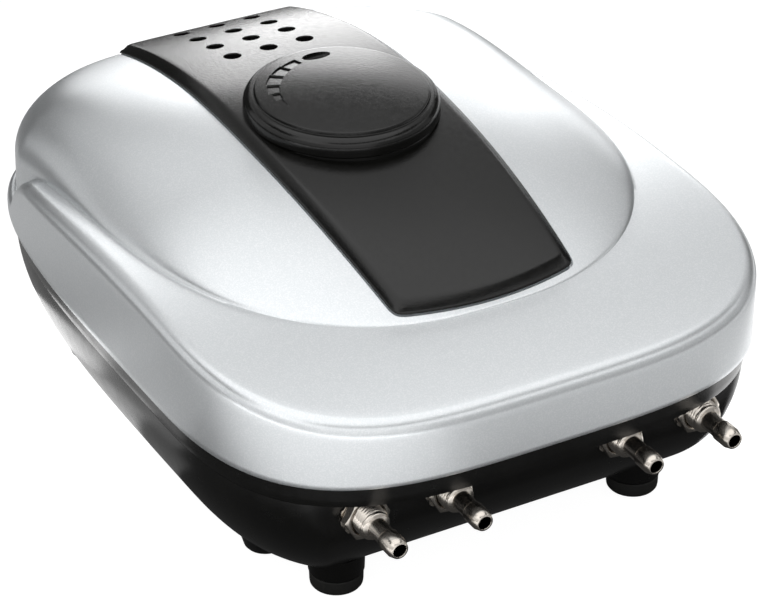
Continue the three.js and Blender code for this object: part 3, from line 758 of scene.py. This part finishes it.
# ---- flow dial ----
DIAL_TOP_RADIUS = 26
DIAL_RIM_HEIGHT = 6.1
DIAL_CROWN = 1.7
DIMPLE_X = 2.1
DIMPLE_Y = 20.3
DIMPLE_HALF_LENGTH = 4.6
DIMPLE_HALF_WIDTH = 2.35
DIMPLE_DEPTH = 2.6
# The scale's wedges: where each starts, in degrees, and its outer and inner radius.
WEDGE_STEPS = (102, 118, 133.5, 149.6, 163.5, 175.8, 188)
WEDGE_OUTER = (21.8, 22.3, 22.6, 22.4, 21.3, 19.75)
WEDGE_INNER = (18.3, 18.2, 18.4, 18.8, 19.2, 19.55)
WEDGE_GAP = 0.6
WEDGE_DEPTH = 0.55
WEDGE_SHALLOWING = 0.22


def dial_top(radius, angle):
    """Height of the dial's top at polar coordinates, with its dimple and its scale sunk in."""
    height = DIAL_RIM_HEIGHT + DIAL_CROWN * (1 - (radius / DIAL_TOP_RADIUS) ** 2)
    x = (radius * np.cos(angle) - DIMPLE_X) / DIMPLE_HALF_LENGTH
    y = (radius * np.sin(angle) - DIMPLE_Y) / DIMPLE_HALF_WIDTH
    height = height - DIMPLE_DEPTH * np.sqrt(np.maximum(1 - x**2 - y**2, 0))
    degrees = np.degrees(angle) % 360
    for i in range(len(WEDGE_OUTER)):
        start, end = WEDGE_STEPS[i], WEDGE_STEPS[i + 1]
        within = (degrees >= start + WEDGE_GAP) & (degrees <= end)
        within &= (radius > WEDGE_INNER[i]) & (radius < WEDGE_OUTER[i])
        depth = WEDGE_DEPTH - WEDGE_SHALLOWING * (degrees - start) / (end - start)
        height = height - np.where(within, depth, 0)
    return height


def dial_skin():
    angle = angles(720)
    scale_radii = np.arange(17.6, 23.3, 0.16)
    radii = [*np.linspace(1.2, 17.4, 16), *scale_radii, *np.linspace(23.5, DIAL_TOP_RADIUS, 8)]
    rings = [np.array([[0, 0, DIAL_RIM_HEIGHT + DIAL_CROWN]])]
    for radius in radii:
        rings.append(circle(angle, radius, dial_top(radius, angle)))
    edge = [(26.12, 6.04), (26.22, 5.93), (26.28, 5.75), (26.32, 5.3)]
    edge += [(26.42, 5.08), (26.65, 4.98), (26.95, 4.98)]
    shoulder = [(27.3, 4.95), (27.7, 4.84), (28.1, 4.66), (28.5, 4.4)]
    shoulder += [(28.85, 4.06), (29.15, 3.65), (29.4, 3.2)]
    side = [(29.57, 2.7), (29.66, 2.2), (29.7, 1.7), (29.7, 1.0)]
    side += [(29.7, -0.2), (29.6, -0.36), (29.4, -0.4)]
    for radius, height in [*edge, *shoulder, *side, (3.3, -0.4), (3.3, 5)]:
        rings.append(circle(angle, radius, height))
    rings.append(np.array([[0, 0, 5.0]]))
    return skin(rings)


knob_points, knob_faces = moved(dial_skin(), (0, DIAL_Y, DIAL_SEAT_Z))
knob = mesh_object("dial_knob", (tilted(knob_points, DIAL_Y, DIAL_SEAT_Z, DIAL_TILT), knob_faces))
finished(knob, dial_black, "dial_black", "dial", "flow_dial", sharp=32)


# ---- base ----
def bowl_inset(z):
    drop = min(1, max(0, (BAND_Z + 1 - z) / BOWL_DEPTH))
    return 2 + BOWL_REACH * (1 - math.sqrt(1 - drop**2))


def panel_y(z):
    return PANEL_Y + max(0, bowl_inset(z) - 4.5)


def bowl_ring(z, extra=0.0, round_by=1.2):
    points = case_outline(bowl_inset(z) + extra, panel_y(z) + extra)
    return at_height(smooth_ring(points, round_by), z)


def bowl_skin():
    rim_z = PARTING_Z - GAP
    rings = [at_height(case_outline(1.45), rim_z), at_height(case_outline(1.2), rim_z - 0.25)]
    for share in (0.33, 0.66, 1):
        rings.append(at_height(case_outline(1.2 + 0.6 * share), rim_z + (BAND_Z + 0.5 - rim_z) * share))
    rings.append(at_height(case_outline(1.95), BAND_Z + 0.15))
    rings.append(at_height(case_outline(2.4), BAND_Z))
    for turn in np.linspace(math.asin(1.05 / BOWL_DEPTH), math.pi / 2, 34):
        rings.append(bowl_ring(BAND_Z + 1 - BOWL_DEPTH * math.sin(turn)))
    rings.append(bowl_ring(5.4))
    lowest = bowl_ring(6)
    for share, z in ((0.985, 5), (0.93, 5), (0.92, 5.9), (0.6, 5.9), (0.3, 5.9)):
        rings.append(lowest * [share, share, 0] + [0, 0, z])
    inner = []
    for z in (8, 12, 18, 28, 38, 45):
        inner.append(bowl_ring(z, BASE_WALL))
    inner_y = PANEL_Y + BASE_WALL
    inner.append(at_height(case_outline(1.8 + BASE_WALL, inner_y), BAND_Z + BASE_WALL - 0.05))
    inner.append(at_height(case_outline(1.8 + BASE_WALL), BAND_Z + BASE_WALL))
    inner.append(at_height(case_outline(1.2 + BASE_WALL), rim_z))
    return skin([np.array([[0, 0, 8.0]]), *inner, *rings, np.array([[0, 0, 5.9]])])


base = mesh_object("base_bowl", bowl_skin())
bosses = []
holes = []
foot_names = [f"foot_{end}_{side}" for end in ("front", "rear") for side in ("left", "right")]
for foot in foot_names:
    place = middle_mm(foot)
    boss = [(0, 5), (7.7, 5), (8.2, 5.5), (8.4, 12), (0, 12)]
    bosses.append(moved(turned(boss, 64), (place[0], place[1], 0)))
for screw_x in (-SCREW_X, SCREW_X):
    for screw_y in (-SCREW_Y, SCREW_Y):
        boss = [(0, 10), (5.7, 10), (6.3, 10.7), (9, 20), (0, 20)]
        bosses.append(moved(turned(boss, 48), (screw_x, screw_y, 0)))
        well = [(0, 0), (4.4, 0), (4.4, 12), (2.2, 12), (2.2, 24), (0, 24)]
        holes.append(moved(turned(well, 48), (screw_x, screw_y, 0)))
gland_middle = middle_mm("cord_gland")
pad = [(0, 101), (12.6, 101), (12, 110.4), (11.4, 111), (0, 111)]
bosses.append(along_y(turned(pad, 72), (0, 0, gland_middle[2])))
holes.append(along_y(turned([(0, 90), (7.3, 90), (7.3, 120), (0, 120)], 64), (0, 0, gland_middle[2])))
outlets = [middle_mm(f"outlet_barb_{i}") for i in range(1, 5)]
for place in outlets:
    drilled = [(0, -125), (5.1, -125), (5.1, -80), (0, -80)]
    holes.append(along_y(turned(drilled, 48), (place[0], 0, place[2])))
carve(base, joined(bosses), "UNION")
carve(base, joined(holes))
finished(base, bowl_black, "base_black", "housing", "base_housing")

# ---- feet ----
for foot in foot_names:
    low, high = box_mm(foot)
    top = high[2]
    pad = [(0, 0), (4.1, 0), (4.3, 0.4), (4.9, 0.4), (5.1, 0), (6.7, 0), (7.3, 0.25), (7.7, 0.8)]
    pad += [(7.82, 1.6), (7.86, 2.8), (7.9, top - 0.2), (7.7, top), (0, top)]
    place = middle_mm(foot)
    pad_object = mesh_object(f"{foot}_pad", moved(turned(pad, 72), (place[0], place[1], 0)))
    finished(pad_object, foot_rubber, "black_rubber", "housing", foot)


# ---- outlets ----
BORE_RADIUS = 1.9
THREAD_START = 13.2
THREAD_END = 21.2
THREAD_PITCH = 1.05
THREAD_ROOT = 4.25
THREAD_DEPTH = 0.55
THREAD_RUN_IN = 0.9
NUT_HALF_FLATS = 6.235
NUT_THICKNESS = 3.0
WASHER_TEETH = 12
WASHER_TWIST = 0.2


def barb_skin():
    """A hose barb about Z with its tip at 0: chamfered tip, long crest, shank and a cut thread."""
    angle = angles(60)
    outside = [(2.05, 0), (2.35, 0.0), (2.6, 0.12), (3.05, 1.55), (3.2, 1.95), (3.2, 6.5), (3.1, 6.75)]
    outside += [(2.86, 6.9), (2.84, 7.2), (2.84, 12.2), (2.95, 12.6), (3.6, 12.85), (4.2, 13.1)]
    rings = [circle(angle, radius, distance) for radius, distance in outside]
    for distance in np.arange(THREAD_START, THREAD_END, THREAD_PITCH / 10):
        phase = (distance / THREAD_PITCH + angle / (2 * math.pi)) % 1
        fade = min(1, (distance - THREAD_START) / THREAD_RUN_IN)
        crest = THREAD_DEPTH * (1 - np.abs(2 * phase - 1))
        rings.append(circle(angle, THREAD_ROOT + crest * fade, distance))
    inside = [(4.7, 21.4), (4.8, 24.5), (2.7, 24.9), (2.7, 32), (BORE_RADIUS, 32), (BORE_RADIUS, 0.2)]
    rings += [circle(angle, radius, distance) for radius, distance in inside]
    return skin(rings, closed=True)


def nut_skin():
    """A hexagon nut about Z from 0 to its thickness, with chamfered corners and a chamfered bore."""
    angle = angles(132)
    hexagon = NUT_HALF_FLATS / np.cos((angle % (math.pi / 3)) - math.pi / 6)
    rings = [circle(angle, 6.1, 0)]
    for z in (0.03, 0.14, 0.28, 0.42, 0.58, 0.8, 1.5, 2.2, 2.42, 2.58, 2.72, 2.86, 2.97):
        chamfer = 6.15 + min(z, NUT_THICKNESS - z) * 1.75
        rings.append(circle(angle, np.minimum(hexagon, chamfer), z))
    for radius, z in ((6.1, NUT_THICKNESS), (5.5, NUT_THICKNESS), (5.1, 2.7), (5.1, 0.3), (5.5, 0)):
        rings.append(circle(angle, radius, z))
    return skin(rings, closed=True)


def washer_skin():
    """A lock washer about Z with twisted teeth round its rim."""
    angle = angles(144)
    phase = (angle * WASHER_TEETH / (2 * math.pi)) % 1
    tooth = np.clip((0.5 - np.abs(phase - 0.5)) * 8 - 1.2, 0, 1)
    twist = WASHER_TWIST * (2 * phase - 1) * tooth
    rings = []
    for radius, z in ((5.1, 0.2), (5.1, -0.2), (6.0, -0.2), (6.35, -0.2)):
        rings.append(circle(angle, radius, z))
    for z in (-0.16, 0.16):
        rings.append(circle(angle, 6.45 + 0.55 * tooth, z + twist))
    for radius, z in ((6.35, 0.2), (6.0, 0.2)):
        rings.append(circle(angle, radius, z))
    return skin(rings, closed=True)


def paint_shade_in_bore(barb, place):
    """Marks the barb's bore, so that painted shade darkens the plating there."""
    points = np.array([vertex.co for vertex in barb.data.vertices]) / MM
    radius = np.hypot(points[:, 0] - place[0], points[:, 2] - place[2])
    bore_shade_mask = barb.data.attributes.new("bore", "FLOAT", "POINT")
    bore_shade_mask.data.foreach_set("value", (radius < BORE_RADIUS + 0.05).astype(float))


for number, place in enumerate(outlets, 1):
    tip_y = box_mm(f"outlet_barb_{number}")[0][1]
    barb = mesh_object(f"barb_{number}", along_y(barb_skin(), (place[0], tip_y, place[2])))
    # Painted shade goes into the barb's bore.
    paint_shade_in_bore(barb, place)
    finished(barb, nickel, "nickel", "housing", f"outlet_barb_{number}", sharp=50)
    nut_y = box_mm(f"hex_nut_{number}")[0][1]
    nut = mesh_object(f"nut_{number}", along_y(nut_skin(), (place[0], nut_y, place[2])))
    finished(nut, nickel, "nickel", "housing", f"hex_nut_{number}", sharp=25)
    washer_y = middle_mm(f"lock_washer_{number}")[1]
    washer = mesh_object(f"washer_{number}", along_y(washer_skin(), (place[0], washer_y, place[2])))
    finished(washer, nickel, "nickel", "housing", f"lock_washer_{number}", sharp=30)

# ---- cord gland ----
gland = [(3.6, 98), (8.4, 98), (8.4, 100.7), (6.9, 100.7), (6.9, 111.3), (10.1, 111.3), (10.5, 111.6)]
gland += [(10.5, 113.2), (9.9, 113.8), (8.2, 113.9), (6.6, 114.2), (6.1, 114.8), (5.8, 115.6), (5.8, 116.2)]
gland += [(5.4, 116.4), (5.4, 116.8), (5.8, 117), (5.75, 117.9), (5.3, 118.4), (4.1, 118.4), (3.6, 117.9)]
gland_object = mesh_object("gland_collar", along_y(turned(gland, 72, closed=True), (0, 0, gland_middle[2])))
finished(gland_object, gland_black, "black_rubber", "housing", "cord_gland")

# ---- CAD pieces that keep their shape ----
foam = fibrous("filter_foam", (0.030, 0.030, 0.032), (0.075, 0.075, 0.078))
white = moulded("white_nylon", (0.66, 0.65, 0.60), (0.58, 0.565, 0.52), 0.45)
black_part = moulded("black_nylon", (0.02, 0.02, 0.021), (0.035, 0.035, 0.036), 0.45)
inner_rubber = rubber("diaphragm_rubber")
hose = moulded("hose_silicone", (0.62, 0.65, 0.64), (0.50, 0.54, 0.53), 0.3, 120)
ferrite = moulded("magnet_ferrite", (0.045, 0.045, 0.048), (0.09, 0.09, 0.095), 0.55, 900, 0.03)
board = circuit("board_green")
core = laminated("core_laminations")
copper = wound("copper_winding")
by_slot = {
    "core_steel": core,
    "copper_wire": copper,
    "white_plastic": white,
    "ferrite": ferrite,
    "hose_silicone": hose,
    "filter_foam": foam,
    "board_green": board,
    "pot_black": black_part,
    "black_rubber": inner_rubber,
    "screw_steel": steel,
    "nickel": nickel,
    "base_black": bowl_black,
    "silver_paint": paint,
    "grained_black": strip_black,
    "dial_black": dial_black,
}
slot_of = {part["node"]: part["material_slot"] for part in frame["record"]["subparts"]}
for name, obj in frame["nodes"].items():
    obj.data.materials.clear()
    obj.data.materials.append(by_slot[slot_of[name]])

# ---- camera ----
CAMERA_PLACE = (-0.386438, -0.699694, 0.517934)
CAMERA_TARGET = (-0.0033006, -0.0159565, 0.05)
CAMERA_LENS = 143.59
camera = bpy.data.objects.new("camera", bpy.data.cameras.new("camera"))
bpy.context.scene.collection.objects.link(camera)
camera.location = CAMERA_PLACE
look = Vector(CAMERA_TARGET) - camera.location
camera.rotation_mode = "QUATERNION"
camera.rotation_quaternion = look.to_track_quat("-Z", "Y")
camera.data.lens = CAMERA_LENS
camera.data.sensor_width = 36
camera.data.clip_start = 0.01
camera.data.clip_end = 50
bpy.context.scene.camera = camera


# ---- floor and light ----
CARD_DISTANCE = 4000
CARD_Z = -0.2
FLOOR_Z = -0.4
FLOOR_CORE = 400
ROOM = 9000
# Glowing cards round the object: azimuths clockwise from the rear and elevations, in degrees, and brightness.
# They light the object but are hidden from the camera.
SKY_CARDS = [
    (11, 22.5, 0, 27, 1.45),
    (22.5, 34, 0, 28, 5.6),
    (34, 45, 0, 8, 2.3),
    (34, 45, 8, 30, 2.9),
    (45, 56, 4, 20, 1.4),
    (-45, -28, 0, 28, 0.7),
    (90, 171, 0, 28, 0.45),
    (171, 225, 0, 28, 1.1),
    (225, 315, 0, 28, 0.85),
    (-45, 90, 28, 34, 0.8),
    (90, 315, 28, 34, 1.5),
    (-45, 135, 34, 42, 0.35),
    (135, 270, 34, 42, 1.7),
    (-45, 90, 42, 54, 0.68),
    (225, 270, 42, 54, 1.7),
    (-45, 315, 54, 89, 1.55),
]
# Glowing parts of the table: azimuths, distances from the object's middle in millimetres, and brightness.
TABLE_CARDS = [
    (85, 125, 60, 110, 1.5),
    (264, 284, 55, 106, 0.25),
    (284, 350, 55, 106, 1.05),
    (272, 300, 106, 136, 0.6),
    (300, 352, 106, 136, 2.1),
    (90, 135, 110, 180, 1.6),
    (270, 360, 136, 180, 0.3),
    (90, 180, 180, 300, 0.67),
    (180, 270, 180, 300, 1.1),
    (270, 360, 180, 300, 0.5),
    (45, 180, 300, 600, 0.83),
    (180, 270, 300, 600, 2.6),
    (270, 405, 300, 600, 0.16),
    (45, 90, 600, 1500, 1.65),
]


def glow(name, strength, albedo=0.0):
    made = bpy.data.materials.new(name)
    made.use_nodes = True
    inputs = made.node_tree.nodes["Principled BSDF"].inputs
    inputs["Base Color"].default_value = (albedo, albedo, albedo, 1)
    inputs["Roughness"].default_value = 1
    inputs["Specular IOR Level"].default_value = 0
    inputs["Emission Color"].default_value = (1, 1, 1, 1)
    inputs["Emission Strength"].default_value = strength
    return made


def sheet_of(name, grid, material):
    """A stage surface over a grid of points in millimetres."""
    rows, columns = len(grid), len(grid[0])
    faces = []
    for row in range(rows - 1):
        for column in range(columns - 1):
            corner = row * columns + column
            faces.append((corner, corner + 1, corner + columns + 1, corner + columns))
    mesh = bpy.data.meshes.new(name)
    mesh.from_pydata([tuple(MM * value for value in point) for line in grid for point in line], [], faces)
    mesh.materials.append(material)
    obj = bpy.data.objects.new(name, mesh)
    bpy.context.scene.collection.objects.link(obj)
    return obj


def card(name, azimuths, others, place, strength):
    grid = []
    for azimuth in np.radians(np.linspace(*azimuths, 2 + int(abs(azimuths[1] - azimuths[0]) / 6))):
        line = []
        for other in np.linspace(*others, 4):
            across, height = place(other)
            line.append((across * math.sin(azimuth), across * math.cos(azimuth), height))
        grid.append(line)
    obj = sheet_of(name, grid, glow(name, strength))
    obj.visible_camera = obj.visible_shadow = False


def on_sky(elevation):
    angle = math.radians(elevation)
    return CARD_DISTANCE * math.cos(angle), CARD_DISTANCE * math.sin(angle)


def on_table(distance):
    return distance, CARD_Z


for number, (start, end, low, high, strength) in enumerate(SKY_CARDS):
    card(f"sky_card_{number}", (start, end), (low, high), on_sky, strength)
for number, (start, end, near, far, strength) in enumerate(TABLE_CARDS):
    card(f"table_card_{number}", (start, end), (near, far), on_table, strength)

# The floor and the wall are seen by the camera only.
floor_lines = (-ROOM, -FLOOR_CORE, FLOOR_CORE, ROOM)
floor_grid = [[(x, y, FLOOR_Z) for x in floor_lines] for y in floor_lines]
floor = sheet_of("floor", floor_grid, glow("white_backdrop", 0.95, 0.25))
wall_turns = np.arange(49) / 48 * 2 * math.pi
wall_grid = [[(ROOM * math.sin(a), ROOM * math.cos(a), z) for z in (-1, ROOM)] for a in wall_turns]
wall = sheet_of("wall", wall_grid, glow("white_wall", 1.0))
for obj in (floor, wall):
    obj.visible_diffuse = obj.visible_glossy = obj.visible_shadow = False
bpy.context.scene.world = bpy.data.worlds.new("studio")

bpy.context.scene.view_settings.view_transform = "Standard"
